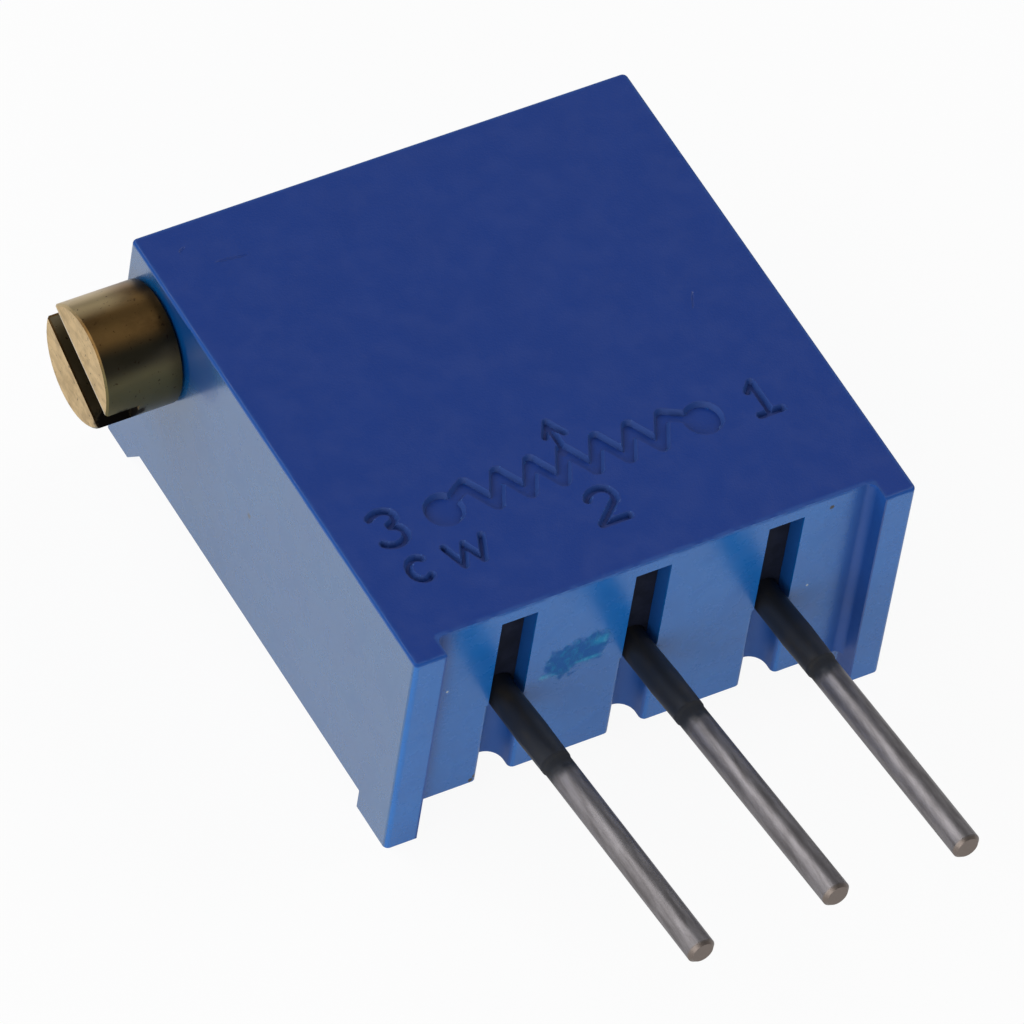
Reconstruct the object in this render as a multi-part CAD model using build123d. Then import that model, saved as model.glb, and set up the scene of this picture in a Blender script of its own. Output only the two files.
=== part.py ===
from build123d import *
import math
import os

# A sealed multi-turn trimmer potentiometer, lying on its back, in millimetres.
# +X runs from the screw's end to the far end, the pins point along -Y, and +Z comes out of the
# marked face. The origin is on the middle pin's axis, on the seating plane of the two feet.

# Housing, outside
body_width = 9.53
body_height = 10.03
body_depth = 4.83
corner_radius = 0.10
face_edge_radius = 0.06

# Feet, back lands and the recesses between them
foot_width = 0.60
foot_drop = 0.41
foot_back_height = 1.00
back_recess = 0.42
top_land_height = 0.79
land_slope_run = 0.36
pad_fillet = 0.16

# Terminal pins
pin_pitch = 2.54
pin_radius = 0.255
pin_reach = 5.70
pin_chamfer = 0.06
root_radius = 0.285
root_bulge = 0.012
root_reach = 1.22
root_taper = 0.05
pin_bend_rise = 0.46
pin_inner_length = 1.15
pin_hole_clearance = 0.02

# How far each pin's tip stands off its own straight line, as (X, Z)
pin_1_tip_shift = (0.22, 0.42)
pin_2_tip_shift = (0.28, 0.42)
pin_3_tip_shift = (0.30, 0.22)

# Pockets and wash channels at the pins
pocket_width = 0.68
pocket_front_wall = 0.30
pocket_back_overlap = 0.12
pocket_depth = 0.86
pin_seal_sink = 0.34
channel_width = 0.62
channel_height = 0.50
channel_mouth_radius = 0.10

# Walls round the cavity, and the room beside the end pads
front_wall = 0.55
pad_margin = 0.45
top_wall = 0.45
floor_web = 0.48
ledge_width = 0.40

# Element: substrate, printed films and solder
substrate_thickness = 0.64
substrate_clearance = 0.02
film_thickness = 0.03
solder_gap = 0.03
pad_width = 0.95
pad_length = 1.30
conductor_width = 0.30
track_width = 0.80
track_centre_height = 7.70
collector_width = 0.55
collector_spacing = 1.30
solder_width = 0.80
solder_rise = 0.42
seal_clearance = 0.01
seal_sink = 0.04

# Adjusting screw
screw_height = 8.90
screw_below_face = 1.38
head_radius = 1.10
head_length = 1.46
head_gap = 0.03
head_chamfer = 0.035
slot_width = 0.55
slot_depth = 0.64
slot_tilt = 20.5
shank_radius = 0.50
tail_radius = 0.35
tail_length = 0.38
running_clearance = 0.03
groove_radius = 0.36

# Seal and clip on the screw
ring_section = 0.36
ring_clearance = 0.02
seal_pocket_depth = 0.45
clip_thickness = 0.25
clip_half_depth = 0.80
clip_above = 0.64
clip_below = 0.95

# Carriage and wiper
turns = 25
thread_pitch = 0.20
carriage_length = 1.50
carriage_foot = 0.175
carriage_top_rise = 0.35
carriage_clearance = 0.05
carriage_edge = 0.12
carriage_lift = 0.62
guide_groove_width = 0.50
guide_groove_depth = 0.25
spring_thickness = 0.08
spring_inset = 0.08
finger_width = 0.14
finger_pitch = 0.24
finger_count = 3
contact_gap = 0.02
contact_length = 0.20
finger_tip_length = 0.25

# How far a cutting tool runs past what it cuts
cut_past = 1.0

# Planes worked out from the sizes above, with the pin row midway between back and front
left = -body_width / 2
right = body_width / 2
back = -body_depth / 2
front = body_depth / 2
back_face = back + back_recess
pad_plane = foot_drop
pocket_top = pad_plane + pocket_depth
cavity_right = pin_pitch + pad_width / 2 + pad_margin
cavity_left = -cavity_right
cavity_low = pocket_top + floor_web
cavity_top = body_height - top_wall
cavity_front = front - front_wall
substrate_front = -(pin_radius + solder_gap + film_thickness)
substrate_back = substrate_front - substrate_thickness
film_top = substrate_front + film_thickness
seat_left = cavity_left - ledge_width
seat_right = cavity_right + ledge_width
seat_low = cavity_low - ledge_width
screw_z = front - screw_below_face
ring_radius = shank_radius + ring_clearance + ring_section / 2
seal_pocket_radius = ring_radius + ring_section / 2 + ring_clearance
clip_right = cavity_left + clip_thickness
carriage_x = (clip_right + cavity_right) / 2
carriage_bottom = film_top + carriage_lift
travel = turns * thread_pitch
track_left = carriage_x - travel / 2
track_right = carriage_x + travel / 2
collector_centre_height = track_centre_height - collector_spacing
carriage_low = collector_centre_height - collector_width / 2 - carriage_foot
carriage_top = screw_height + carriage_top_rise
pins = {
    "1": (pin_pitch, pin_1_tip_shift),
    "2": (0, pin_2_tip_shift),
    "3": (-pin_pitch, pin_3_tip_shift),
}


# A box between two values on each axis
def block(x0, x1, y0, y1, z0, z1):
    centre = ((x0 + x1) / 2, (y0 + y1) / 2, (z0 + z1) / 2)
    return Pos(*centre) * Box(x1 - x0, y1 - y0, z1 - z0)


# A round bar along the screw's axis
def screw_bar(radius, x0, x1):
    bar = Rot(0, 90, 0) * Cylinder(radius, x1 - x0)
    return Pos((x0 + x1) / 2, screw_height, screw_z) * bar


# A round bar along a pin's inner, straight part
def pin_bar(x, radius, y0, y1):
    bar = Rot(90, 0, 0) * Cylinder(radius, y1 - y0)
    return Pos(x, (y0 + y1) / 2, 0) * bar


# Outer form of the housing, with its rounded edges, feet and lands
def housing_outside():
    shell = block(left, right, 0, body_height, back, front)
    shell = fillet(shell.edges().filter_by(Axis.Z), corner_radius)
    shell = fillet(shell.faces().sort_by(Axis.Z)[-1].edges(), face_edge_radius)
    between = (left + foot_width, right - foot_width)
    recess = block(*between, -cut_past, pad_plane, back - cut_past, front + cut_past)
    corners = recess.edges().filter_by(Axis.Z).group_by(Axis.Y)[-1]
    shell -= fillet(corners, pad_fillet)
    shell -= block(*between, -cut_past, foot_back_height + pad_fillet, back - cut_past, back_face)
    land_edge = body_height - top_land_height
    outline = Plane.YZ * Polyline(
        (foot_back_height, back - cut_past),
        (foot_back_height, back_face),
        (land_edge - land_slope_run, back_face),
        (land_edge, back),
        (land_edge, back - cut_past),
        close=True,
    )
    standoff = extrude(make_face(outline), body_width, both=True)
    return shell - standoff


# Arched channel behind a pin, open at the back and flared where it meets the pad
def wash_channel(x):
    half = channel_width / 2
    shoulder = pad_plane + channel_height - half
    arch = Pos(0, (shoulder + pad_plane) / 2) * Rectangle(channel_width, shoulder - pad_plane)
    arch += Pos(0, shoulder) * Circle(half)
    below = Pos(0, pad_plane - channel_width) * Rectangle(3 * channel_width, 2 * channel_width)
    profile = arch + below
    mouth = profile.vertices().filter_by(
        lambda v: abs(v.Y - pad_plane) < 0.001 and abs(abs(v.X) - half) < 0.001)
    profile = fillet(mouth, channel_mouth_radius)
    return Pos(x, 0, back - cut_past) * extrude(profile, cut_past - back)


# Pocket in front of a pin, its channel and the pin's hole into the cavity
def pin_openings(x):
    half = pocket_width / 2
    pocket = block(x - half, x + half, -cut_past, pocket_top, -pocket_back_overlap,
                   front - pocket_front_wall)
    hole = pin_bar(x, root_radius + pin_hole_clearance, -cut_past, pocket_top)
    inner_hole = pin_bar(x, pin_radius + pin_hole_clearance, pocket_top, cavity_low + ledge_width)
    return pocket + wash_channel(x) + hole + inner_hole


# Cavity for the carriage, seat for the element behind it and the screw's bores
def cavity():
    space = block(cavity_left, cavity_right, cavity_low, cavity_top, substrate_front, cavity_front)
    seat = block(seat_left, seat_right, seat_low, cavity_top, back - cut_past, substrate_front)
    seat = fillet(seat.edges().filter_by(Axis.Z), corner_radius)
    bore = screw_bar(shank_radius + running_clearance, left - cut_past, cavity_left)
    seal_pocket = screw_bar(seal_pocket_radius, cavity_left - seal_pocket_depth, cavity_left)
    tail_reach = tail_length + running_clearance
    tail_bore = screw_bar(tail_radius + running_clearance, cavity_right, cavity_right + tail_reach)
    return space + seat + bore + seal_pocket + tail_bore


# Blue moulding: outer form, pin openings and cavity
def housing():
    shell = housing_outside() - cavity()
    for x, shift in pins.values():
        shell -= pin_openings(x)
    return shell


# Alumina plate on the seat's ledge
def ceramic_substrate():
    gap = substrate_clearance
    plate = block(seat_left + gap, seat_right - gap, seat_low + gap, cavity_top - gap,
                  substrate_back, substrate_front)
    return fillet(plate.edges().filter_by(Axis.Z), corner_radius)


# Resin that fills the seat behind the plate, slightly sunk
def back_seal():
    gap = seal_clearance
    plug = block(seat_left + gap, seat_right - gap, seat_low + gap, cavity_top - gap,
                 back_face + seal_sink, substrate_back)
    return fillet(plug.edges().filter_by(Axis.Z), corner_radius)


# A printed film between two values on X and Y
def film(x0, x1, y0, y1):
    return block(x0, x1, y0, y1, substrate_front, film_top)


# Printed pad under a pin's inner end
def pin_pad(x):
    low = cavity_low + substrate_clearance
    return film(x - pad_width / 2, x + pad_width / 2, low, low + pad_length)


# Cermet film that the wiper reads
def resistive_track():
    half = track_width / 2
    return film(track_left, track_right, track_centre_height - half, track_centre_height + half)


# Conductor from pad 2 up to the bar beside the track
def collector_track():
    half = collector_width / 2
    bar = film(track_left, track_right, collector_centre_height - half, collector_centre_height + half)
    stem = film(-conductor_width / 2, conductor_width / 2, cavity_low + pad_length,
                collector_centre_height)
    return pin_pad(0) + bar + stem


# Conductor from an end pin's pad, up the side of the plate, to the track's end
def termination(x, track_end):
    side = math.copysign(1, x)
    outer = track_end + side * conductor_width
    x0, x1 = sorted((track_end, outer))
    low = cavity_low + substrate_clearance
    rail = film(x0, x1, low + pad_length - conductor_width, track_centre_height + track_width / 2)
    arm_x0, arm_x1 = sorted((x, outer))
    arm = film(arm_x0, arm_x1, low + pad_length - conductor_width, low + pad_length)
    return pin_pad(x) + arm + rail


# Tinned wire: straight inside, then leaning by its tip's shift, with a thicker root, widest halfway
def terminal_pin(x, tip_shift):
    bend = Vector(x, pin_bend_rise, 0)
    tip = Vector(x + tip_shift[0], -pin_reach, tip_shift[1])
    reach = (tip - bend).length
    neck_radius = root_radius - root_bulge
    root_length = pin_bend_rise + root_reach
    profile = Polyline(
        (0, 0),
        (neck_radius, 0),
        (root_radius, root_length / 2),
        (neck_radius, root_length - root_taper),
        (pin_radius, root_length),
        (pin_radius, reach - pin_chamfer),
        (pin_radius - pin_chamfer, reach),
        (0, reach),
        close=True,
    )
    leaning = revolve(make_face(Plane.XZ * profile), Axis.Z)
    inside = pin_bar(x, neck_radius, pin_bend_rise, pocket_top - pin_hole_clearance)
    wire = pin_bar(x, pin_radius, pin_bend_rise, cavity_low + pin_inner_length)
    line = Plane(origin=bend, z_dir=tip - bend)
    return line * leaning + Pos(bend) * Sphere(neck_radius) + inside + wire


# Resin that closes a pocket round its wire, sunk below the pads
def pin_seal(x):
    gap = seal_clearance
    half = pocket_width / 2 - gap
    plug = block(x - half, x + half, pad_plane + pin_seal_sink, pocket_top - gap,
                 gap - pocket_back_overlap, front - pocket_front_wall - gap)
    return plug - pin_bar(x, root_radius - root_bulge + gap, pad_plane, pocket_top)


# Solder fillet over a pin's inner end, on its pad
def solder_joint(x):
    low = cavity_low + 2 * substrate_clearance
    top = cavity_low + pin_inner_length + 2 * substrate_clearance
    half = solder_width / 2
    outline = Plane.XZ * Polyline(
        (x - half, film_top),
        (x - pin_radius, film_top + solder_rise),
        (x + pin_radius, film_top + solder_rise),
        (x + half, film_top),
        close=True,
    )
    bead = Pos(0, top, 0) * extrude(make_face(outline), top - low)
    bead = fillet(bead.faces().sort_by(Axis.Y)[-1].edges(), pin_chamfer)
    return bead - pin_bar(x, pin_radius, low - cut_past, cavity_low + pin_inner_length)


# Turned brass screw: slotted head, journal with the clip's groove, threaded shank and tail
def adjust_screw():
    head_end = left - head_gap - head_length
    head_back = left - head_gap
    head = screw_bar(head_radius, head_end, head_back)
    rims = head.edges().filter_by(GeomType.CIRCLE)
    head = chamfer(rims, head_chamfer)
    slot = Box(2 * slot_depth, 4 * head_radius, slot_width)
    head -= Pos(head_end, screw_height, screw_z) * Rot(slot_tilt, 0, 0) * slot
    shank = screw_bar(shank_radius, head_back, cavity_right - running_clearance)
    tail = screw_bar(tail_radius, cavity_right - running_clearance, cavity_right + tail_length)
    screw = head + shank + tail
    groove_left = cavity_left - running_clearance
    groove_right = clip_right + running_clearance
    groove = screw_bar(shank_radius + cut_past, groove_left, groove_right)
    groove -= screw_bar(groove_radius, groove_left, groove_right)
    return screw - groove


# Round sealing ring on the screw's journal
def o_ring():
    x = cavity_left - seal_pocket_depth + ring_clearance + ring_section / 2
    ring = Rot(0, 90, 0) * Torus(ring_radius, ring_section / 2)
    return Pos(x, screw_height, screw_z) * ring


# U-shaped clip against the cavity's end wall, open towards the pins
def retaining_clip():
    plate = block(cavity_left, clip_right, screw_height - clip_below, screw_height + clip_above,
                  screw_z - clip_half_depth, screw_z + clip_half_depth)
    gap = groove_radius + running_clearance
    plate -= screw_bar(gap, cavity_left, clip_right)
    return plate - block(cavity_left, clip_right, screw_height - clip_below - cut_past,
                         screw_height, screw_z - gap, screw_z + gap)


# Moulded slider: a saddle on the screw above a foot that carries the spring
def carriage():
    x0 = carriage_x - carriage_length / 2
    x1 = carriage_x + carriage_length / 2
    z1 = cavity_front - carriage_clearance
    body = block(x0, x1, carriage_low, carriage_top, carriage_bottom, z1)
    body = chamfer(body.edges().filter_by(Axis.Z), carriage_edge)
    body -= screw_bar(shank_radius + running_clearance, x0 - cut_past, x1 + cut_past)
    middle = (track_centre_height + collector_centre_height) / 2
    half = guide_groove_width / 2
    return body - block(x0 - cut_past, x1 + cut_past, middle - half, middle + half,
                        z1 - guide_groove_depth, z1 + cut_past)


# One contact finger: a bent strip from the spring's sheet down to its film
def contact_finger(y):
    sheet = carriage_bottom - spring_thickness
    touch = film_top + contact_gap
    root = spring_inset - carriage_length / 2
    half = contact_length / 2
    under = [
        (root, sheet),
        (root + spring_thickness, sheet),
        (-half, touch),
        (half, touch),
        (half + finger_tip_length, touch + spring_thickness),
    ]
    over = [(x, z + spring_thickness) for x, z in reversed(under)]
    outline = Plane.XZ * Polyline(*under, *over, close=True)
    strip = extrude(make_face(outline), finger_width / 2, both=True)
    return Pos(carriage_x, y, 0) * strip


# Spring sheet under the carriage, with fingers on the track and on the collector
def wiper_spring():
    half = carriage_length / 2 - spring_inset
    sheet = block(carriage_x - half, carriage_x - half / 2, collector_centre_height - collector_width / 2,
                  track_centre_height + track_width / 2, carriage_bottom - spring_thickness,
                  carriage_bottom)
    middle = (finger_count - 1) / 2
    for row in (track_centre_height, collector_centre_height):
        for number in range(finger_count):
            sheet += contact_finger(row + (number - middle) * finger_pitch)
    return sheet


# Every piece by its node's name
def all_pieces():
    pieces = {
        "housing": housing(),
        "back_seal": back_seal(),
        "ceramic_substrate": ceramic_substrate(),
        "resistive_track": resistive_track(),
        "collector_track": collector_track(),
        "termination_1": termination(pin_pitch, track_right),
        "termination_3": termination(-pin_pitch, track_left),
        "adjust_screw": adjust_screw(),
        "o_ring": o_ring(),
        "retaining_clip": retaining_clip(),
        "carriage": carriage(),
        "wiper_spring": wiper_spring(),
    }
    for number, (x, tip_shift) in pins.items():
        pieces[f"terminal_pin_{number}"] = terminal_pin(x, tip_shift)
        pieces[f"pin_seal_{number}"] = pin_seal(x)
        pieces[f"solder_joint_{number}"] = solder_joint(x)
    return pieces


os.makedirs("parts", exist_ok=True)
for name, piece in all_pieces().items():
    export_step(piece, f"parts/{name}.step")
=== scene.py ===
import math
import bmesh
import bpy
import numpy as np
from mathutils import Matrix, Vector
from mathutils.geometry import delaunay_2d_cdt


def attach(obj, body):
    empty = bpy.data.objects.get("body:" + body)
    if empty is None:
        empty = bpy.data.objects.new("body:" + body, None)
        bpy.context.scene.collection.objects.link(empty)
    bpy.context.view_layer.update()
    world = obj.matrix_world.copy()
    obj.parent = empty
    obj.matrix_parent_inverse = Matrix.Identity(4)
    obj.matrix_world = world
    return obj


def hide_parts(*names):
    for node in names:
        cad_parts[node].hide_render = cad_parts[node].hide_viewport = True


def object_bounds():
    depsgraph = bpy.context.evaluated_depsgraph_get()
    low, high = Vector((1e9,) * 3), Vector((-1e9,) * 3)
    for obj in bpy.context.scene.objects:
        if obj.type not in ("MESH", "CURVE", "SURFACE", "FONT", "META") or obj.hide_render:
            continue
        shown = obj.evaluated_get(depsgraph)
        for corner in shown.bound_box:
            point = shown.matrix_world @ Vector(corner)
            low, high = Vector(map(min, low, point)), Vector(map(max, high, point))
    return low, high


# Trimmer potentiometer on a pale floor. Everything is in metres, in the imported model's frame:
# +X from the screw's end to the far end, pins along -Y, +Z out of the marked face.
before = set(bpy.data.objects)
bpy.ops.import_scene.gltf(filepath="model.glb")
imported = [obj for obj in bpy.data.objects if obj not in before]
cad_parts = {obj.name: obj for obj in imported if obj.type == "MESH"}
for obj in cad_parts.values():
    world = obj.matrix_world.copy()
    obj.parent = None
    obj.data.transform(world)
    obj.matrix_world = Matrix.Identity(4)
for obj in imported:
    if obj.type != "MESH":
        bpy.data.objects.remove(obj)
cadBox = [list(corner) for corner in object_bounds()]
mm = 0.001
weldGap = 0.0002 * mm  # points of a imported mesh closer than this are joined
farOff = 9.0  # millimetres, further from a point than any mark is
print("frame loaded")


# Small helpers for shader nodes: a value is either a number or another node's output
def plug(tree, socket, value):
    if isinstance(value, bpy.types.NodeSocket):
        tree.links.new(value, socket)
    else:
        socket.default_value = value


def addNode(tree, kind, inputs, **settings):
    node = tree.nodes.new("ShaderNode" + kind)
    for name, value in settings.items():
        setattr(node, name, value)
    for name, value in inputs.items():
        plug(tree, node.inputs[name], value)
    return node


def math2(tree, operation, a, b=0.0):
    return addNode(tree, "Math", {0: a, 1: b}, operation=operation).outputs[0]


def product(tree, *values):
    result = values[0]
    for value in values[1:]:
        result = math2(tree, "MULTIPLY", result, value)
    return result


def anyOf(tree, masks):
    result = masks[0]
    for mask in masks[1:]:
        result = math2(tree, "MAXIMUM", result, mask)
    return result


def mixColor(tree, amount, a, b):
    inputs = {0: amount, 6: a, 7: b}
    return addNode(tree, "Mix", inputs, data_type="RGBA").outputs[2]


def remap(tree, value, low, high, toLow=0.0, toHigh=1.0):
    inputs = {0: value, 1: low, 2: high, 3: toLow, 4: toHigh}
    return addNode(tree, "MapRange", inputs, interpolation_type="SMOOTHSTEP").outputs[0]


# Place on the piece in metres
def place(tree):
    return addNode(tree, "TexCoord", {}).outputs["Object"]


def split(tree, vector):
    return addNode(tree, "SeparateXYZ", {0: vector}).outputs


def facing(tree):
    return split(tree, addNode(tree, "TexCoord", {}).outputs["Normal"])


# Noise whose blobs are about size wide, in metres; stretch lengthens them along X, Y or Z
def blobs(tree, size, detail=3.0, rough=0.55, stretch=(1, 1, 1), shift=(0, 0, 0)):
    scale = [1 / factor for factor in stretch]
    mapping = {"Vector": place(tree), "Location": shift, "Scale": scale}
    spot = addNode(tree, "Mapping", mapping).outputs[0]
    inputs = {"Vector": spot, "Scale": 1 / size, "Detail": detail, "Roughness": rough}
    return addNode(tree, "TexNoise", inputs).outputs[0]


def awayFrom(tree, point):
    return addNode(tree, "VectorMath", {0: place(tree), 1: point}, operation="SUBTRACT").outputs[0]


# Distance from an axis through a point, or from the point itself, in metres
def reachFrom(tree, point, keep=(1, 1, 1)):
    inputs = {0: awayFrom(tree, point), 1: keep}
    apart = addNode(tree, "VectorMath", inputs, operation="MULTIPLY").outputs[0]
    return addNode(tree, "VectorMath", {0: apart}, operation="LENGTH").outputs[1]


# Soft-edged oval or square patch in millimetres, turned about Z and with a ragged edge if asked:
# 1 inside, 0 outside
def patch(tree, centre, half, turn=0, soft=0.35, ragged=0.0, grain=0.2 * mm, square=False):
    local = {
        "Vector": place(tree),
        "Location": [value * mm for value in centre],
        "Rotation": (0, 0, math.radians(turn)),
        "Scale": [value * mm for value in half],
    }
    local = addNode(tree, "Mapping", local, vector_type="TEXTURE").outputs[0]
    if square:
        reach = anyOf(tree, [math2(tree, "ABSOLUTE", part) for part in list(split(tree, local))[:3]])
    else:
        reach = addNode(tree, "VectorMath", {0: local}, operation="LENGTH").outputs[1]
    if ragged:
        noise = math2(tree, "SUBTRACT", blobs(tree, grain, 4, 0.6), 0.5)
        reach = math2(tree, "ADD", reach, math2(tree, "MULTIPLY", noise, ragged))
    return remap(tree, reach, 1.0, 1.0 - soft)


# Round spots at points in millimetres: 1 up to the inner radius, 0 from the outer one
def dots(tree, points, outer, inner):
    gaps = [reachFrom(tree, [value * mm for value in point]) for point in points]
    return anyOf(tree, [remap(tree, gap, outer, inner) for gap in gaps])


def bump(tree, height, depth, strength=1.0, under=None):
    inputs = {"Height": height, "Distance": depth, "Strength": strength}
    if under is not None:
        inputs["Normal"] = under
    return addNode(tree, "Bump", inputs).outputs[0]


def newMaterial(name, **shader):
    material = bpy.data.materials.new(name)
    material.use_nodes = True
    tree = material.node_tree
    tree.nodes.clear()
    out = tree.nodes.new("ShaderNodeOutputMaterial")
    surface = tree.nodes.new("ShaderNodeBsdfPrincipled")
    tree.links.new(surface.outputs[0], out.inputs[0])
    for key, value in shader.items():
        surface.inputs[key.replace("_", " ")].default_value = value
    return material, tree, surface.inputs


def dress(obj, material):
    obj.data.materials.clear()
    obj.data.materials.append(material)


# Blue moulding: satin, with a fine spark-eroded grain on the marked face
housingLook = {
    # pad, face and side: one blue moulding in lighter and darker copies by facing, as painted light and
    # shade
    "pad": (0.0050, 0.132, 0.450, 1),
    "face": (0.0010, 0.033, 0.232, 1),
    "side": (0.0020, 0.084, 0.245, 1),
    # edge: painted highlight along the rim and slanted edges of the marked face
    "edge": (0.0010, 0.060, 0.290, 1),
    "wall": (0.0010, 0.026, 0.190, 1),  # painted shade on the walls of the sunk marks; also the darker tone of the mottle and the scratches
    "recess": (0.0020, 0.050, 0.250, 1),  # painted shade in the pockets, channels and the inner corner of a foot
    "paintedShadeNearHead": (0.0006, 0.024, 0.150, 1),  # painted shade on the side wall beside the screw's head
    "scuff": (0.003, 0.250, 0.480, 1),
    "scuffDark": (0.001, 0.080, 0.310, 1),
    "scuffLight": (0.090, 0.360, 0.600, 1),
    "speck": (0.55, 0.60, 0.62, 1),
    "dirt": (0.012, 0.010, 0.010, 1),
    "mottleSize": 1.1 * mm,
    "mottleShare": 0.14,
    "grainSize": 0.045 * mm,
    "grainDepth": 0.0035 * mm,
    "sideGrain": 0.22,  # share of the grain on all but the marked face
    "faceRough": 0.38,
    "padRough": 0.27,
    "openingRough": 0.50,
    "wallRough": 0.80,
    "edgeRough": 1.0,  # the slanted edges are matt
    "scuffRough": 0.95,
    "frontLevel": 2.415 * mm,
    "halfWidth": 4.765 * mm,
    "topLevel": 10.03 * mm,
    "padLevel": 0.41 * mm,
    "footStart": 4.165 * mm,
    "edgeBand": 0.10 * mm,
    "edgeShare": 0.75,
    "openingTop": 1.28 * mm,  # pockets and channels: how high, how far out and how far below the face
    "openingReach": 3.0 * mm,
    "openingBelow": 0.28 * mm,
    "openingShare": 0.7,
    "cornerStart": 3.62 * mm,  # inner corner between the pads and a foot
    "cornerFull": 4.05 * mm,
    "cornerEnd": 4.20 * mm,
    "cornerShare": 0.9,
    "scuffShare": 0.85,
    "scuffDepth": 0.012 * mm,
    "scratchShare": 0.7,
    "scratchDepth": 0.02 * mm,
    "speckRadius": 0.030 * mm,
    "dirtRadius": 0.060 * mm,
    "sideGloss": 0.67,  # polished side walls of the mould
    "headShadeShare": 0.55,  # the painted shade beside the head, and the duller coat and finer polish there
    "headPatchCoat": 0.15,
    "headPatchPolish": 0.12,
}
scuffs = [
    {"centre": (-1.52, 0.41, 0.44), "half": (0.50, 0.12, 0.48), "soft": 0.5, "ragged": 1.6},
    {"centre": (-1.02, 0.41, 0.62), "half": (0.50, 0.12, 0.46), "soft": 0.5, "ragged": 1.6},
    {"centre": (-1.28, 0.41, 0.54), "half": (0.64, 0.12, 0.40), "soft": 0.5, "ragged": 1.2,
     "square": True},
]
scuffLights = [
    {"centre": (-0.86, 0.41, 0.72), "half": (0.30, 0.12, 0.16), "soft": 0.9, "ragged": 1.6},
    {"centre": (-1.80, 0.41, 0.22), "half": (0.24, 0.12, 0.10), "soft": 0.9, "ragged": 1.6},
    {"centre": (-1.02, 0.41, 0.32), "half": (0.34, 0.12, 0.08), "soft": 0.9, "ragged": 1.8},
]
besideHead = {"centre": (-4.765, 8.00, 1.90), "half": (0.30, 1.50, 0.95), "soft": 0.5}
scratches = [
    {"centre": (-4.09, 9.48, 2.415), "half": (0.09, 0.03, 0.1), "turn": 30},
    {"centre": (-3.40, 8.985, 2.415), "half": (0.32, 0.03, 0.1), "turn": -7},
    {"centre": (3.32, 5.10, 2.415), "half": (0.20, 0.02, 0.1), "turn": 62},
]
specks = [(3.21, 0.41, 0.17), (2.41, 0.41, -0.44), (2.30, 0.41, -0.23), (-3.75, 0.41, 0.79)]
dirtSpots = [(-2.98, 0.41, -1.93), (-2.91, 0.41, -1.86), (-4.765, 5.38, 0.31), (3.40, 0.41, 2.12)]


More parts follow.
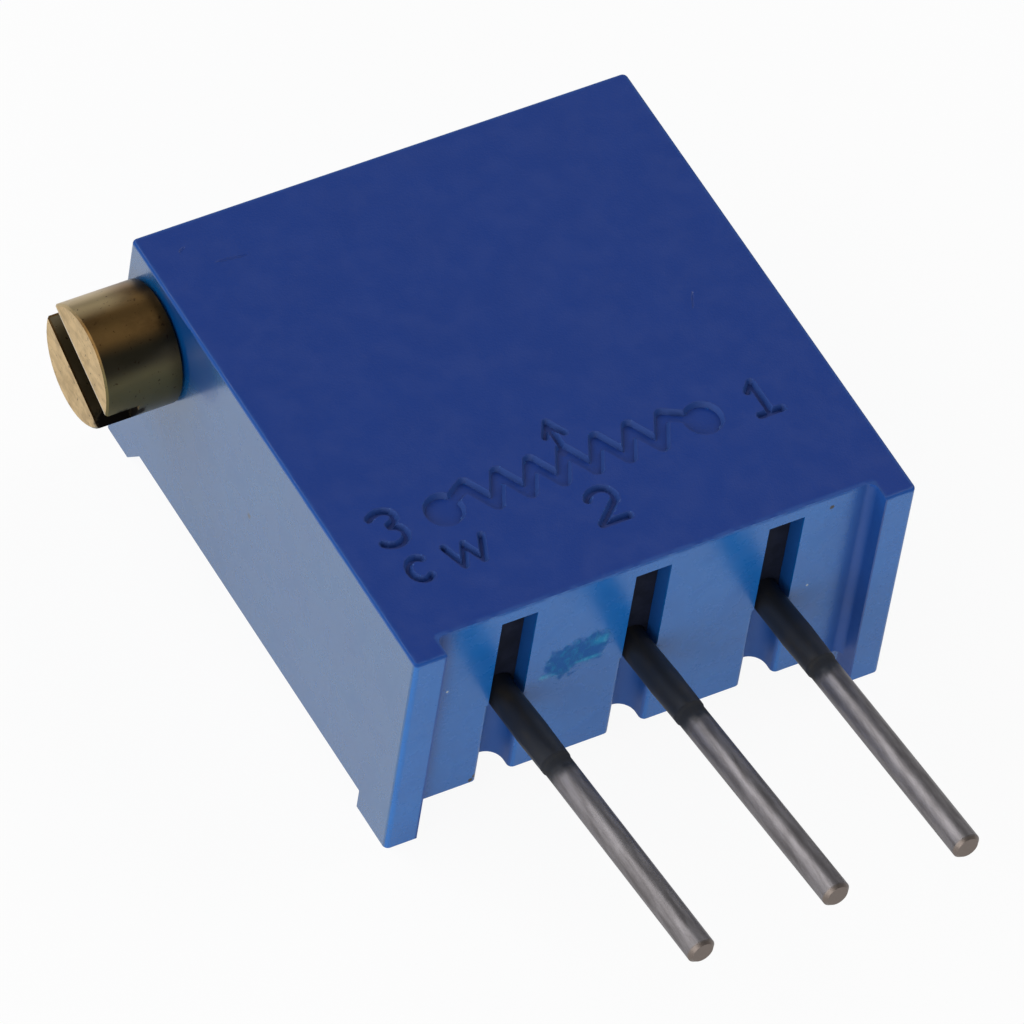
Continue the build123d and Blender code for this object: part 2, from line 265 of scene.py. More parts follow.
def housingPlastic():
    look = housingLook
    material, tree, shader = newMaterial("housingPlastic", IOR=1.58, Coat_Roughness=0.16, Coat_IOR=1.6)
    tilt = [math2(tree, "ABSOLUTE", part) for part in facing(tree)]
    spot = split(tree, place(tree))
    across = math2(tree, "ABSOLUTE", spot["X"])
    up = remap(tree, facing(tree)["Z"], 0.80, 0.97)
    outer = remap(tree, across, look["halfWidth"] - 0.14 * mm, look["halfWidth"] - 0.03 * mm)
    outer = product(tree, outer, remap(tree, tilt[0], 0.80, 0.97))
    steepest = math2(tree, "MAXIMUM", math2(tree, "MAXIMUM", tilt[0], tilt[1]), tilt[2])
    slant = math2(tree, "SUBTRACT", 1.0, steepest)
    atFace = remap(tree, spot["Z"], look["frontLevel"] - 0.09 * mm, look["frontLevel"] - 0.04 * mm)
    wall = addNode(tree, "Attribute", {}, attribute_name="markShade").outputs["Fac"]
    betweenFeet = math2(tree, "LESS_THAN", across, look["footStart"])
    fromLow = math2(tree, "SUBTRACT", spot["Y"], math2(tree, "MULTIPLY", betweenFeet, look["padLevel"]))
    fromTop = math2(tree, "SUBTRACT", look["topLevel"], spot["Y"])
    fromSide = math2(tree, "SUBTRACT", look["halfWidth"], across)
    fromRim = math2(tree, "MINIMUM", math2(tree, "MINIMUM", fromLow, fromTop), fromSide)
    # Painted highlight along the marked face's rim and on its slanted edges
    band = product(tree, remap(tree, fromRim, look["edgeBand"], 0.03 * mm), look["edgeShare"])
    band = product(tree, band, remap(tree, blobs(tree, 0.35 * mm, 4, 0.6), 0.30, 0.60, 0.25, 1.0))
    slant = product(tree, remap(tree, slant, 0.02, 0.16), remap(tree, fromRim, 0.22 * mm, 0.16 * mm))
    edge = math2(tree, "MAXIMUM", slant, band)
    edge = product(tree, edge, atFace)
    opening = remap(tree, spot["Y"], look["padLevel"] + 0.01 * mm, look["padLevel"] + 0.05 * mm)
    ceiling = look["frontLevel"] - look["openingBelow"]
    opening = product(tree, opening, math2(tree, "LESS_THAN", spot["Y"], look["openingTop"]))
    opening = product(tree, opening, math2(tree, "LESS_THAN", across, look["openingReach"]))
    opening = product(tree, opening, math2(tree, "LESS_THAN", spot["Z"], ceiling))
    corner = remap(tree, across, look["cornerStart"], look["cornerFull"])
    corner = product(tree, corner, math2(tree, "LESS_THAN", across, look["cornerEnd"]))
    corner = product(tree, corner, math2(tree, "LESS_THAN", spot["Y"], look["padLevel"] + 0.02 * mm))

    # Pads and side walls are painted lighter than the marked face: painted light and shade by facing
    color = mixColor(tree, up, look["pad"], look["face"])
    color = mixColor(tree, outer, color, look["side"])
    # Painted shade beside the screw's head, where the head hides the floor's reflection in the side wall
    beside = product(tree, patch(tree, **besideHead), outer)
    color = mixColor(tree, product(tree, beside, look["headShadeShare"]), color, look["paintedShadeNearHead"])
    mottle = remap(tree, blobs(tree, look["mottleSize"], 4), 0.3, 0.7)
    color = mixColor(tree, product(tree, mottle, look["mottleShare"]), color, look["wall"])
    # Painted shade in the pockets, channels and the inner corner of a foot
    inPocket = product(tree, opening, look["openingShare"])
    hollow = math2(tree, "MAXIMUM", inPocket, product(tree, corner, look["cornerShare"]))
    color = mixColor(tree, hollow, color, look["recess"])
    # painted highlight on the edges
    color = mixColor(tree, edge, color, look["edge"])
    # painted shade on the walls of the sunk marks and in narrow strokes
    color = mixColor(tree, wall, color, look["wall"])
    scuff = anyOf(tree, [patch(tree, **each) for each in scuffs])
    fleck = remap(tree, blobs(tree, 0.11 * mm, 4, 0.7), 0.45, 0.66)
    light = anyOf(tree, [patch(tree, **each) for each in scuffLights])
    scraped = math2(tree, "MAXIMUM", product(tree, fleck, 0.5), product(tree, light, 0.9))
    scrapedColor = mixColor(tree, scraped, look["scuffDark"], look["scuff"])
    color = mixColor(tree, product(tree, scuff, look["scuffShare"]), color, scrapedColor)
    color = mixColor(tree, product(tree, light, fleck, look["scuffShare"]), color, look["scuffLight"])
    scratch = anyOf(tree, [patch(tree, **each) for each in scratches])
    color = mixColor(tree, product(tree, scratch, look["scratchShare"]), color, look["wall"])
    white = dots(tree, specks, look["speckRadius"], look["speckRadius"] / 2)
    color = mixColor(tree, white, color, look["speck"])
    dark = dots(tree, dirtSpots, look["dirtRadius"], look["dirtRadius"] / 2)
    plug(tree, shader["Base Color"], mixColor(tree, dark, color, look["dirt"]))

    rough = remap(tree, up, 0, 1, look["padRough"], look["faceRough"])
    rough = math2(tree, "SUBTRACT", rough, product(tree, beside, look["headPatchPolish"]))
    sunken = math2(tree, "MAXIMUM", opening, corner)
    rough = math2(tree, "MAXIMUM", rough, product(tree, sunken, look["openingRough"]))
    rough = math2(tree, "MAXIMUM", rough, product(tree, wall, look["wallRough"]))
    rough = math2(tree, "MAXIMUM", rough, product(tree, edge, look["edgeRough"]))
    smear = remap(tree, blobs(tree, 0.5 * mm, 5, 0.6), 0.35, 0.75, -0.03, 0.06)
    rough = math2(tree, "ADD", rough, smear)
    rough = math2(tree, "MAXIMUM", rough, product(tree, scuff, look["scuffRough"]))
    plug(tree, shader["Roughness"], rough)
    dull = remap(tree, beside, 0, 1, 1.0, look["headPatchCoat"])
    plug(tree, shader["Coat Weight"], product(tree, outer, look["sideGloss"], dull))
    grain = blobs(tree, look["grainSize"], 3, 0.6)
    height = product(tree, grain, remap(tree, up, 0, 1, look["sideGrain"], 1.0))
    surface = bump(tree, height, look["grainDepth"])
    surface = bump(tree, product(tree, scuff, fleck), look["scuffDepth"], 0.8, surface)
    unscratched = math2(tree, "SUBTRACT", 1.0, scratch)
    plug(tree, shader["Normal"], bump(tree, unscratched, look["scratchDepth"], 0.6, surface))
    return material


# Turned brass: brown tarnish round the head, cleaner scratched ends, a dirty slot
brassLook = {
    "round": (0.225, 0.128, 0.044, 1),
    "roundDark": (0.110, 0.060, 0.021, 1),
    "wornTopAndHighlight": (0.560, 0.430, 0.230, 1),  # worn top beside the slot, lightened further as a painted highlight
    "filmDark": (0.060, 0.050, 0.030, 1),  # painted dark reflection on the front half, painted olive reflection lower down
    "film": (0.160, 0.134, 0.062, 1),
    "end": (0.690, 0.500, 0.255, 1),
    "endDark": (0.440, 0.310, 0.150, 1),
    "lip": (0.75, 0.70, 0.60, 1),
    "slot": (0.240, 0.200, 0.125, 1),
    "dirt": (0.010, 0.008, 0.007, 1),
    "pitColor": (0.030, 0.012, 0.006, 1),
    "tarnishSize": 0.55 * mm,
    "turningPitch": 0.030 * mm,
    "headAxis": (0, 8.90 * mm, 1.035 * mm),
    "headRadius": 1.10 * mm,
    "headEnd": -6.255 * mm,
    "slotTilt": 20.5,
    "slotHalf": 0.275 * mm,
    "slotFloor": -5.6 * mm,
    "lipWidth": 0.020 * mm,
    "lipShare": 0.7,
    "brightStart": -5.05 * mm,
    "brightFull": -5.75 * mm,
    "brightShare": 0.85,
    "darkNearBodyStart": -5.12 * mm,  # darker towards the body
    "darkNearBodyFull": -4.84 * mm,
    "pitShare": 0.7,
    "ringDepth": 0.0003 * mm,
    "scoreDepth": 0.002 * mm,
}
brassDirt = [
    {"centre": (-5.92, 7.95, 0.60), "half": (0.46, 0.40, 0.42), "soft": 0.25, "ragged": 0.7},
    {"centre": (-5.66, 7.86, 0.62), "half": (0.30, 0.14, 0.26), "soft": 0.4, "ragged": 1.1},
    {"centre": (-6.23, 8.06, 0.66), "half": (0.06, 0.20, 0.22), "soft": 0.4, "ragged": 0.6},
]


def screwBrass():
    look = brassLook
    material, tree, shader = newMaterial("screwBrass", Metallic=1.0)
    spot = split(tree, place(tree))
    endwise = remap(tree, math2(tree, "ABSOLUTE", facing(tree)["X"]), 0.80, 0.95)
    radius = reachFrom(tree, look["headAxis"], (0, 1, 1))
    inside = remap(tree, radius, look["headRadius"] - 0.02 * mm, look["headRadius"] - 0.05 * mm)
    below = remap(tree, spot["X"], look["headEnd"] + 0.01 * mm, look["headEnd"] + 0.06 * mm)
    above = remap(tree, spot["X"], look["slotFloor"] + 0.1 * mm, look["slotFloor"])
    slot = product(tree, inside, below, above)
    stain = remap(tree, blobs(tree, look["tarnishSize"], 5, 0.6, (1.6, 1, 1)), 0.40, 0.70)
    color = mixColor(tree, stain, look["round"], look["roundDark"])
    turned = facing(tree)["Y"]
    # Painted reflections: dark where the round faces the front, olive lower down
    color = mixColor(tree, remap(tree, turned, -0.40, -0.66), color, look["filmDark"])
    low = remap(tree, facing(tree)["Z"], 0.66, 0.30)
    low = product(tree, low, math2(tree, "LESS_THAN", turned, -0.2))
    color = mixColor(tree, low, color, look["film"])
    # Worn top beside the slot, with a painted highlight on the top of the round
    wornTopAndHighlight = remap(tree, spot["X"], look["brightStart"], look["brightFull"])
    wornTopAndHighlight = product(tree, wornTopAndHighlight, remap(tree, turned, -0.02, 0.32), look["brightShare"])
    color = mixColor(tree, wornTopAndHighlight, color, look["wornTopAndHighlight"])
    # Darker towards the body, most on the top of the round
    darkNearBody = remap(tree, spot["X"], look["darkNearBodyStart"], look["darkNearBodyFull"])
    darkNearBody = product(tree, darkNearBody, remap(tree, turned, -0.3, 0.2, 0.45, 0.85))
    color = mixColor(tree, darkNearBody, color, look["dirt"])
    hairline = remap(tree, blobs(tree, 0.05 * mm, 3, 0.6, stretch=(1, 7, 2.5)), 0.42, 0.62)
    soil = remap(tree, blobs(tree, 0.28 * mm, 5, 0.65, (1, 1, 2.2)), 0.42, 0.68)
    worn = math2(tree, "ADD", product(tree, hairline, 0.45), product(tree, soil, 0.55))
    ends = mixColor(tree, worn, look["end"], look["endDark"])
    color = mixColor(tree, endwise, color, ends)
    tilt = math.radians(look["slotTilt"])
    acrossSlot = {0: awayFrom(tree, look["headAxis"]), 1: (0, -math.sin(tilt), math.cos(tilt))}
    fromSlot = addNode(tree, "VectorMath", acrossSlot, operation="DOT_PRODUCT").outputs[1]
    lipLine = look["slotHalf"] + look["lipWidth"] / 2
    fromLip = math2(tree, "ABSOLUTE", math2(tree, "SUBTRACT", fromSlot, lipLine))
    lip = remap(tree, fromLip, look["lipWidth"], look["lipWidth"] / 2)
    color = mixColor(tree, product(tree, endwise, lip, look["lipShare"]), color, look["lip"])
    color = mixColor(tree, slot, color, look["slot"])
    pit = remap(tree, blobs(tree, 0.075 * mm, 2, 0.5, shift=(0.5, 0, 0)), 0.66, 0.74)
    color = mixColor(tree, product(tree, pit, look["pitShare"]), color, look["pitColor"])
    dirt = anyOf(tree, [patch(tree, **each) for each in brassDirt])
    color = mixColor(tree, dirt, color, look["dirt"])
    plug(tree, shader["Base Color"], color)
    rough = remap(tree, endwise, 0, 1, 0.34, 0.40)
    rough = math2(tree, "ADD", rough, product(tree, stain, 0.06))
    plug(tree, shader["Roughness"], math2(tree, "MAXIMUM", rough, product(tree, dirt, 0.8)))
    rings = blobs(tree, look["turningPitch"], 2, 0.5, stretch=(1, 60, 60))
    surface = bump(tree, rings, look["ringDepth"], 0.5)
    scored = math2(tree, "SUBTRACT", product(tree, hairline, endwise), pit)
    plug(tree, shader["Normal"], bump(tree, scored, look["scoreDepth"], 0.4, surface))
    return material


# Pin wire: a dark resin-stained root, then dull tin with faint streaks along the wire
pinLook = {
    "root": (0.0085, 0.0105, 0.0160, 1),
    "rootWarm": (0.022, 0.018, 0.013, 1),
    "tin": (0.262, 0.245, 0.252, 1),
    "tinDark": (0.160, 0.148, 0.150, 1),
    "tip": (0.205, 0.170, 0.150, 1),
    "rootEnd": -1.52 * mm,
    "rootBlend": 0.26 * mm,
    "taperStart": -1.05 * mm,  # matt where the root tapers into the wire
    "taperEnd": -1.50 * mm,
    "taperRough": 0.85,
    "tinRough": 0.47,
    "rootRough": 0.50,
    "streakDepth": 0.002 * mm,
    "tipEnd": -5.64 * mm,
}


def tinnedWire():
    look = pinLook
    material, tree, shader = newMaterial("tinnedWire")
    y = split(tree, place(tree))["Y"]
    streak = remap(tree, blobs(tree, 0.10 * mm, 4, 0.55, stretch=(1, 7, 1)), 0.30, 0.72)
    tin = mixColor(tree, streak, look["tin"], look["tinDark"])
    atTip = remap(tree, y, look["tipEnd"] + 0.03 * mm, look["tipEnd"] - 0.02 * mm)
    tin = mixColor(tree, atTip, tin, look["tip"])
    cloud = remap(tree, blobs(tree, 0.35 * mm, 4, 0.6, stretch=(1, 2, 1)), 0.45, 0.75)
    root = mixColor(tree, cloud, look["root"], look["rootWarm"])
    ragged = blobs(tree, 0.22 * mm, 3, shift=(0.3, 0, 0))
    edge = math2(tree, "ADD", y, product(tree, ragged, look["rootBlend"]))
    dark = remap(tree, edge, look["rootEnd"], look["rootEnd"] + look["rootBlend"])
    plug(tree, shader["Base Color"], mixColor(tree, dark, tin, root))
    plug(tree, shader["Metallic"], math2(tree, "SUBTRACT", 1.0, dark))
    taper = remap(tree, y, look["taperStart"], look["taperStart"] - 0.10 * mm)
    taper = product(tree, taper, remap(tree, y, look["taperEnd"], look["taperEnd"] + 0.20 * mm))
    rough = remap(tree, dark, 0, 1, look["tinRough"], look["rootRough"])
    rough = math2(tree, "MAXIMUM", rough, product(tree, taper, look["taperRough"]))
    plug(tree, shader["Roughness"], rough)
    plug(tree, shader["Normal"], bump(tree, streak, look["streakDepth"], 0.4))
    return material


# A plain finish with two tones, for the resin and the sealed pieces inside: its blobs are about
# size wide and depth high, in millimetres
innerLooks = {
    "sealingResin": {"light": (0.0060, 0.0075, 0.0150), "dark": (0.0035, 0.0040, 0.0085),
                     "size": 0.9, "rough": 0.22},
    "pocketResin": {"light": (0.0100, 0.0130, 0.0280), "dark": (0.0060, 0.0080, 0.0170),
                    "size": 0.4, "rough": 0.60, "ior": 1.2},
    "alumina": {"light": (0.86, 0.85, 0.80), "dark": (0.78, 0.77, 0.72), "size": 0.05, "rough": 0.55},
    "cermetFilm": {"light": (0.06, 0.055, 0.055), "dark": (0.10, 0.09, 0.09), "size": 0.04, "rough": 0.50},
    "conductorFilm": {"light": (0.62, 0.61, 0.58), "dark": (0.50, 0.49, 0.46),
                      "size": 0.05, "rough": 0.42, "metallic": 1.0},
    "solder": {"light": (0.62, 0.62, 0.62), "dark": (0.48, 0.48, 0.49),
               "size": 0.25, "rough": 0.25, "metallic": 1.0},
    "sealRubber": {"light": (0.03, 0.03, 0.03), "dark": (0.045, 0.045, 0.045), "size": 0.04, "rough": 0.62},
    "clipSteel": {"light": (0.50, 0.50, 0.51), "dark": (0.38, 0.38, 0.39),
                  "size": 0.05, "rough": 0.32, "metallic": 1.0, "stretch": (1, 12, 1)},
    "carriagePlastic": {"light": (0.80, 0.77, 0.68), "dark": (0.72, 0.69, 0.60),
                        "size": 0.12, "rough": 0.45},
    "contactAlloy": {"light": (0.72, 0.60, 0.34), "dark": (0.60, 0.49, 0.26),
                     "size": 0.05, "rough": 0.26, "metallic": 1.0, "stretch": (9, 1, 1)},
}


def innerFinish(name, light, dark, size, rough, metallic=0.0, stretch=(1, 1, 1), depth=0.002, ior=1.5):
    material, tree, shader = newMaterial(name, Metallic=metallic, IOR=ior)
    cloud = remap(tree, blobs(tree, size * mm, 4, 0.6, stretch=stretch), 0.3, 0.7)
    plug(tree, shader["Base Color"], mixColor(tree, cloud, (*light, 1), (*dark, 1)))
    plug(tree, shader["Roughness"], remap(tree, cloud, 0, 1, rough, min(1.0, rough + 0.12)))
    plug(tree, shader["Normal"], bump(tree, cloud, depth * mm))
    return material


plastic = housingPlastic()
brass = screwBrass()
wire = tinnedWire()
inner = {name: innerFinish(name, **look) for name, look in innerLooks.items()}
finishes = {
    "back_seal": inner["sealingResin"],
    "ceramic_substrate": inner["alumina"],
    "resistive_track": inner["cermetFilm"],
    "collector_track": inner["conductorFilm"],
    "termination_1": inner["conductorFilm"],
    "termination_3": inner["conductorFilm"],
    "o_ring": inner["sealRubber"],
    "retaining_clip": inner["clipSteel"],
    "carriage": inner["carriagePlastic"],
    "wiper_spring": inner["contactAlloy"],
}
for number in "123":
    finishes["terminal_pin_" + number] = wire
    finishes["pin_seal_" + number] = inner["pocketResin"]
    finishes["solder_joint_" + number] = inner["solder"]
for node, finish in finishes.items():
    dress(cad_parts[node], finish)
print("finishes on", len(finishes), "nodes")

# Sunk marks on the marked face, in millimetres on X and Y: lines with a half-width and two
# discs. The resistor sign's zigzag is worked out from its pitch and its two rows.
marks = {
    "depth": 0.105,
    "wallRun": 0.050,  # how far a mark's side wall slopes outwards
    "fineStep": 0.022,
    "coarseStep": 0.88,
    "numberHalf": 0.056,
    "letterHalf": 0.050,
    "arrowHalf": 0.050,
    "zigzagHalf": 0.110,
    "shadeSoft": 0.020,  # how softly the painted shade of a mark ends beyond its wall
    "shadeMost": 0.85,
    "zigzagStart": -2.165,
    "zigzagPitch": 0.628,
    "zigzagTeeth": 6,
    "zigzagHigh": 3.105,
    "zigzagLow": 2.515,
    "discLeft": (-2.73, 2.755),
    "discRight": (2.21, 2.765),
    "discRadius": 0.335,
    "arrowTip": (-0.262, 3.73),
    "arrowBarbs": ((-0.43, 3.45), (-0.09, 3.42)),
    "sharpTurn": 34,  # degrees between faces from which an edge is sharp
}


def arcPoints(cx, cy, rx, ry, start, end, count=9):
    angles = [math.radians(start + (end - start) * i / (count - 1)) for i in range(count)]
    return [(cx + rx * math.cos(a), cy + ry * math.sin(a)) for a in angles]


def zigzag():
    start, pitch = marks["zigzagStart"], marks["zigzagPitch"]
    low, high = marks["zigzagLow"], marks["zigzagHigh"]
    points = [marks["discLeft"]]
    for tooth in range(marks["zigzagTeeth"]):
        points += [(start + tooth * pitch, high), (start + (tooth + 0.5) * pitch, low)]
    points += [(start + marks["zigzagTeeth"] * pitch, high), marks["discRight"]]
    return points


def markLines():
    number, letter, arrow = marks["numberHalf"], marks["letterHalf"], marks["arrowHalf"]
    tip = marks["arrowTip"]
    one = [[(3.18, 2.97), (3.33, 3.13), (3.33, 2.43)], [(3.13, 2.43), (3.54, 2.43)]]
    two = [arcPoints(-0.21, 1.92, 0.24, 0.21, 165, -25) + [(-0.46, 1.42), (0.05, 1.42)]]
    upper = arcPoints(-3.79, 2.98, 0.23, 0.16, 150, -75)
    lower = arcPoints(-3.79, 2.60, 0.25, 0.20, 75, -150)
    three = [upper + lower]
    letterC = [arcPoints(-3.70, 1.80, 0.19, 0.24, 50, 310, 11)]
    letterW = [[(-3.13, 2.03), (-2.98, 1.57), (-2.79, 1.98), (-2.62, 1.57), (-2.43, 2.03)]]
    lines = [(zigzag(), marks["zigzagHalf"]), ([tip, (tip[0], marks["zigzagHigh"])], arrow)]
    lines += [([tip, barb], arrow) for barb in marks["arrowBarbs"]]
    lines += [(points, number) for points in one + two + three]
    lines += [(points, letter) for points in letterC + letterW]
    return lines


def lineDistance(points, line):
    nearest = np.full(len(points), farOff)
    for a, b in zip(line, line[1:]):
        a, b = np.array(a), np.array(b)
        along = b - a
        share = np.clip((points - a) @ along / (along @ along), 0, 1)
        nearest = np.minimum(nearest, np.linalg.norm(points - a - share[:, None] * along, axis=1))
    return nearest


# Distance of each point from the nearest mark's edge, negative inside it
def markDistance(points):
    nearest = np.full(len(points), farOff)
    for line, half in markLines():
        nearest = np.minimum(nearest, lineDistance(points, line) - half)
    for centre in (marks["discLeft"], marks["discRight"]):
        gap = np.linalg.norm(points - np.array(centre), axis=1) - marks["discRadius"]
        nearest = np.minimum(nearest, gap)
    return nearest


# Painted shade of the marks: their side walls, and the whole of a narrow stroke
def markShade(points):
    narrow = np.full(len(points), farOff)
    for line, half in markLines():
        if half < marks["zigzagHalf"]:
            narrow = np.minimum(narrow, lineDistance(points, line) - half)
    wallGap = np.minimum(np.abs(markDistance(points)), narrow) - marks["wallRun"] / 2
    return np.clip(1 - wallGap / marks["shadeSoft"], 0, 1) * marks["shadeMost"]


# How far down a point lies, as a share of the marks' depth
def sunkShare(distance):
    return np.clip(0.5 - distance / marks["wallRun"], 0, 1)


# Points close to the top or foot of a mark's wall are moved onto it, so that the walls run true
def trueToWalls(points):
    tiny, half = 0.001, marks["wallRun"] / 2
    distance = markDistance(points)
    slope = np.stack([
        (markDistance(points + np.array(step)) - distance) / tiny
        for step in ((tiny, 0), (0, tiny))
    ], axis=1)
    for level in (-half, half):
        close = np.abs(distance - level) < marks["fineStep"] / 2
        points[close] -= (distance[close] - level)[:, None] * slope[close]
    return points


# Grid over the face, fine beside the marks and coarse elsewhere
def facePoints(low, high):
    fine = marks["fineStep"]
    xs = np.arange(low[0] + fine, high[0] - fine, fine)
    ys = np.arange(low[1] + fine, high[1] - fine, fine)
    grid = np.array(np.meshgrid(xs, ys)).reshape(2, -1).T
    near = np.abs(markDistance(grid)) < marks["wallRun"] / 2 + 3 * fine
    every = round(marks["coarseStep"] / fine)
    column, row = np.meshgrid(np.arange(len(xs)), np.arange(len(ys)))
    coarse = ((column % every == every // 2) & (row % every == every // 2)).reshape(-1)
    return np.concatenate([trueToWalls(grid[near]), grid[coarse & ~near]])


# Makes a piece of a working mesh: sharp where it turns by more than so many degrees, and
# shaded elsewhere by its large faces
def newPiece(name, work, sharpTurn):
    bmesh.ops.recalc_face_normals(work, faces=work.faces)
    work.verts.index_update()
    mesh = bpy.data.meshes.new(name)
    mesh.from_pydata([v.co[:] for v in work.verts], [], [[v.index for v in f.verts] for f in work.faces])
    work.free()
    mesh.shade_smooth()
    mesh.set_sharp_from_angle(angle=math.radians(sharpTurn))
    piece = bpy.data.objects.new(name, mesh)
    bpy.context.scene.collection.objects.link(piece)
    smoother = piece.modifiers.new("evenShading", "WEIGHTED_NORMAL")
    smoother.keep_sharp = True
    return piece


# The housing's own mesh with its marked face laid again, fine enough to carry the marks
def markedHousing():
    work = bmesh.new()
    work.from_mesh(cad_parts["housing"].data)
    bmesh.ops.remove_doubles(work, verts=work.verts, dist=weldGap)
    top = max(v.co.z for v in work.verts)
    lid = [f for f in work.faces if all(v.co.z > top - 0.0005 * mm for v in f.verts)]
    bmesh.ops.delete(work, geom=lid, context="FACES")
    rim = [e for e in work.edges if len(e.link_faces) == 1]
    rimVerts = list({v.index: v for e in rim for v in e.verts}.values())
    number = {v: i for i, v in enumerate(rimVerts)}
    outline = [(v.co.x / mm, v.co.y / mm) for v in rimVerts]
    edges = [(number[e.verts[0]], number[e.verts[1]]) for e in rim]
    inner = facePoints(np.min(outline, axis=0), np.max(outline, axis=0))
    points = [Vector(p) for p in outline] + [Vector(p) for p in inner]
    result = delaunay_2d_cdt(points, edges, [], 1, 1e-6)
    share = sunkShare(markDistance(np.array([tuple(p) for p in result[0]])))
    verts = []
    for i, (spot, origins) in enumerate(zip(result[0], result[3])):
        rimIndex = [n for n in origins if n < len(rimVerts)]
        if rimIndex:
            verts.append(rimVerts[rimIndex[0]])
        else:
            level = top - share[i] * marks["depth"] * mm
            verts.append(work.verts.new((spot.x * mm, spot.y * mm, level)))
    for face in result[2]:
        work.faces.new([verts[i] for i in face])
    piece = newPiece("marked_housing", work, marks["sharpTurn"])
    spots = np.array([v.co[:] for v in piece.data.vertices])
    shade = markShade(spots[:, :2] / mm) * (spots[:, 2] > top - 1.1 * marks["depth"] * mm)
    layer = piece.data.attributes.new("markShade", "FLOAT", "POINT")
    layer.data.foreach_set("value", shade.astype(np.float32))
    print("marked face:", len(result[2]), "triangles")
    return piece


housing = markedHousing()
dress(housing, plastic)
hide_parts("housing")
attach(housing, "housing")
print("housing marked")

# The screw's fine right-hand thread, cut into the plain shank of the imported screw, in millimetres
thread = {
    "pitch": 0.20,
    "depth": 0.10,
    "rowsPerPitch": 8,
    "runOut": 0.30,
    "radius": 0.50,
    "start": -3.185,
    "end": 3.435,
    "sharpTurn": 28,
}


def threadRadius(x, angle):
    turn = (x - thread["start"]) / thread["pitch"] - angle / (2 * math.pi)
    fade = min(1.0, (x - thread["start"]) / thread["runOut"], (thread["end"] - x) / thread["runOut"])
    return thread["radius"] - fade * thread["depth"] * (1 - math.cos(2 * math.pi * turn)) / 2


def threadedScrew():
    work = bmesh.new()
    work.from_mesh(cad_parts["adjust_screw"].data)
    bmesh.ops.remove_doubles(work, verts=work.verts, dist=weldGap)
    axisY, axisZ = brassLook["headAxis"][1], brassLook["headAxis"][2]
    start, end = thread["start"] * mm, thread["end"] * mm
    tiny = 0.002 * mm

    def angleOf(v):
        return math.atan2(v.co.z - axisZ, v.co.y - axisY)

    def onShank(v):
        radius = math.hypot(v.co.y - axisY, v.co.z - axisZ)
        return abs(radius - thread["radius"] * mm) < tiny and start - tiny < v.co.x < end + tiny

    shank = [f for f in work.faces if all(onShank(v) for v in f.verts) and abs(f.normal.x) < 0.5]
    bmesh.ops.delete(work, geom=shank, context="FACES")
    rims = []
    for level in (start, end):
        ring = [v for v in work.verts if onShank(v) and abs(v.co.x - level) < tiny]
        rims.append(sorted(ring, key=angleOf))
    angles = [angleOf(v) for v in rims[0]]
    count = round((thread["end"] - thread["start"]) / thread["pitch"] * thread["rowsPerPitch"])
    rows = [rims[0]]
    for i in range(1, count):
        x = thread["start"] + (thread["end"] - thread["start"]) * i / count
        reach = [threadRadius(x, angle) * mm for angle in angles]
        rows.append([
            work.verts.new((x * mm, axisY + r * math.cos(angle), axisZ + r * math.sin(angle)))
            for r, angle in zip(reach, angles)
        ])
    rows.append(rims[1])
    for low, high in zip(rows, rows[1:]):
        for j in range(len(angles)):
            following = (j + 1) % len(angles)
            work.faces.new((low[j], low[following], high[following], high[j]))
    print("thread cut:", count, "rows of", len(angles))
    return newPiece("threaded_screw", work, thread["sharpTurn"])


screw = threadedScrew()
dress(screw, brass)
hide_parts("adjust_screw")
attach(screw, "adjust_screw")

# Floor, lamps, world and camera. A lamp stands at a turn about Z from +X and a rise above the
# floor, in degrees, so far away in metres.
studio = {
    "floorSize": 6.0,
    "floorColor": (0.84, 0.84, 0.84, 1),
    "floorGlow": 0.93,  # share of plain white that the camera sees
    "glossyGlow": 0.50,  # and that reflections see
    "worldColor": (0.90, 0.96, 1.0, 1),
    "worldStrength": 0.12,
    "cameraPlace": (-82.687, -107.633, 163.368),
    "cameraTurn": (39.874, -6.395, -28.788),
    "cameraLens": 449.79,
    "sensorWidth": 36,
    "nearClip": 0.01,
    "farClip": 20,
}
lamps = {
    "backLamp": {"turn": 122, "rise": 40, "away": 0.30, "size": 0.20, "power": 0.31},
    "rightLamp": {"turn": 2, "rise": 40, "away": 0.30, "size": 0.20, "power": 0.31},
    "leftLamp": {"turn": 178, "rise": 20, "away": 0.30, "size": 0.46, "power": 0.71},
    "frontLamp": {"turn": -118, "rise": 9, "away": 0.30, "size": 0.30, "power": 0.66},
    "headLamp": {"turn": 64, "rise": 27, "away": 0.30, "size": 0.18, "power": 0.036},
}


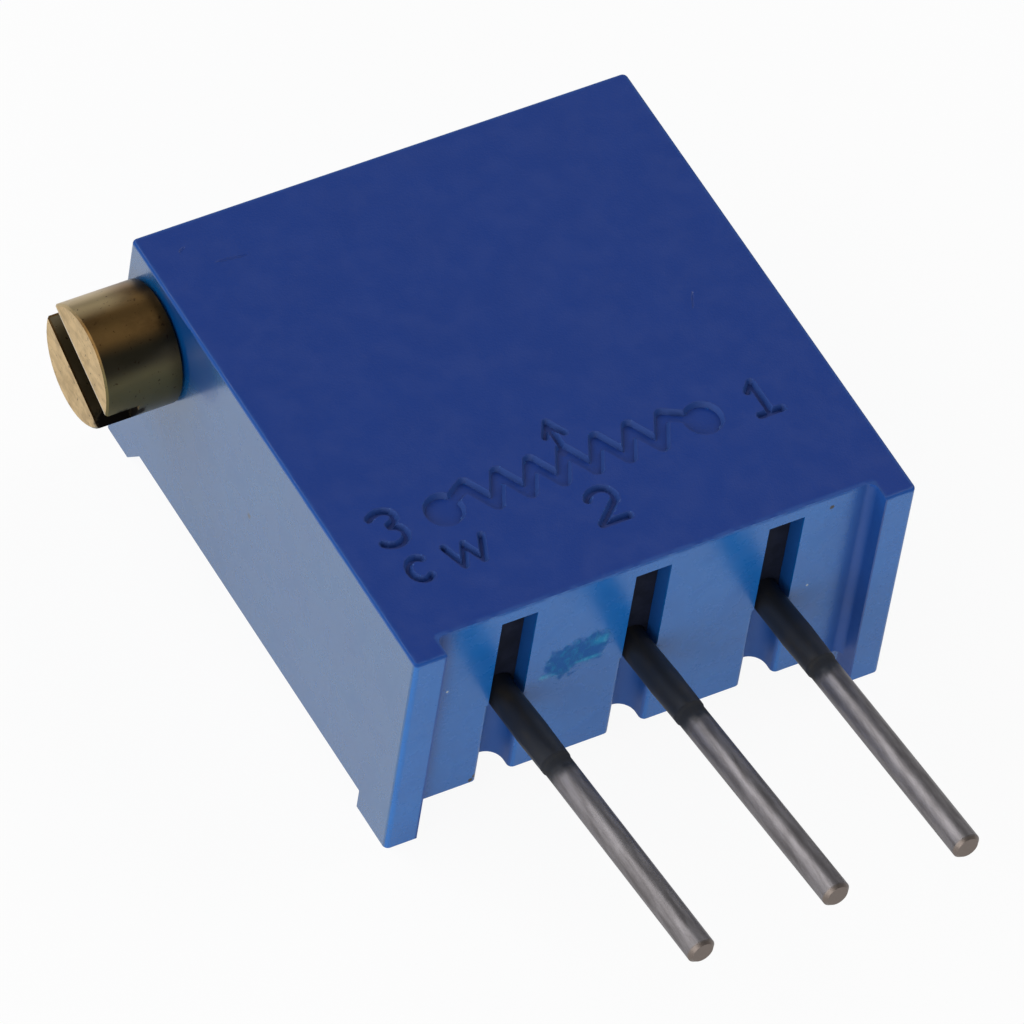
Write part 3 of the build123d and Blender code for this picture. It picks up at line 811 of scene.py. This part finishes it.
def makeFloor():
    half = studio["floorSize"] / 2
    level = cadBox[0][2]
    mesh = bpy.data.meshes.new("floor")
    corners = [(-half, -half, level), (half, -half, level), (half, half, level), (-half, half, level)]
    mesh.from_pydata(corners, [], [(0, 1, 2, 3)])
    floor = bpy.data.objects.new("floor", mesh)
    bpy.context.scene.collection.objects.link(floor)
    material = bpy.data.materials.new("paleFloor")
    material.use_nodes = True
    tree = material.node_tree
    tree.nodes.clear()
    matt = addNode(tree, "BsdfDiffuse", {"Color": studio["floorColor"]}).outputs[0]
    white = addNode(tree, "Emission", {"Strength": 1.0}).outputs[0]
    path = addNode(tree, "LightPath", {}).outputs
    mirrored = math2(tree, "MAXIMUM", path["Is Glossy Ray"], path["Is Transmission Ray"])
    share = math2(tree, "MULTIPLY", path["Is Camera Ray"], studio["floorGlow"])
    share = math2(tree, "MAXIMUM", share, math2(tree, "MULTIPLY", mirrored, studio["glossyGlow"]))
    both = addNode(tree, "MixShader", {0: share, 1: matt, 2: white}).outputs[0]
    addNode(tree, "OutputMaterial", {"Surface": both})
    mesh.materials.append(material)


def makeLamp(name, turn, rise, away, size, power):
    light = bpy.data.lights.new(name, "AREA")
    light.shape = "DISK"
    light.size = size
    light.energy = power
    turn, rise = math.radians(turn), math.radians(rise)
    towards = Vector((math.cos(rise) * math.cos(turn), math.cos(rise) * math.sin(turn), math.sin(rise)))
    lamp = bpy.data.objects.new(name, light)
    lamp.location = towards * away
    lamp.rotation_euler = towards.to_track_quat("Z", "Y").to_euler()
    bpy.context.scene.collection.objects.link(lamp)


def makeWorld():
    world = bpy.data.worlds.new("studio")
    bpy.context.scene.world = world
    world.use_nodes = True
    back = world.node_tree.nodes["Background"]
    back.inputs["Color"].default_value = studio["worldColor"]
    back.inputs["Strength"].default_value = studio["worldStrength"]


def makeCamera():
    lens = bpy.data.cameras.new("camera")
    lens.lens = studio["cameraLens"]
    lens.sensor_width = studio["sensorWidth"]
    lens.clip_start = studio["nearClip"]
    lens.clip_end = studio["farClip"]
    camera = bpy.data.objects.new("camera", lens)
    camera.location = [value * mm for value in studio["cameraPlace"]]
    camera.rotation_euler = [math.radians(value) for value in studio["cameraTurn"]]
    bpy.context.scene.collection.objects.link(camera)
    bpy.context.scene.camera = camera


makeFloor()
for name, lamp in lamps.items():
    makeLamp(name, **lamp)
makeWorld()
makeCamera()
bpy.context.scene.view_settings.view_transform = "Standard"
print("studio ready")
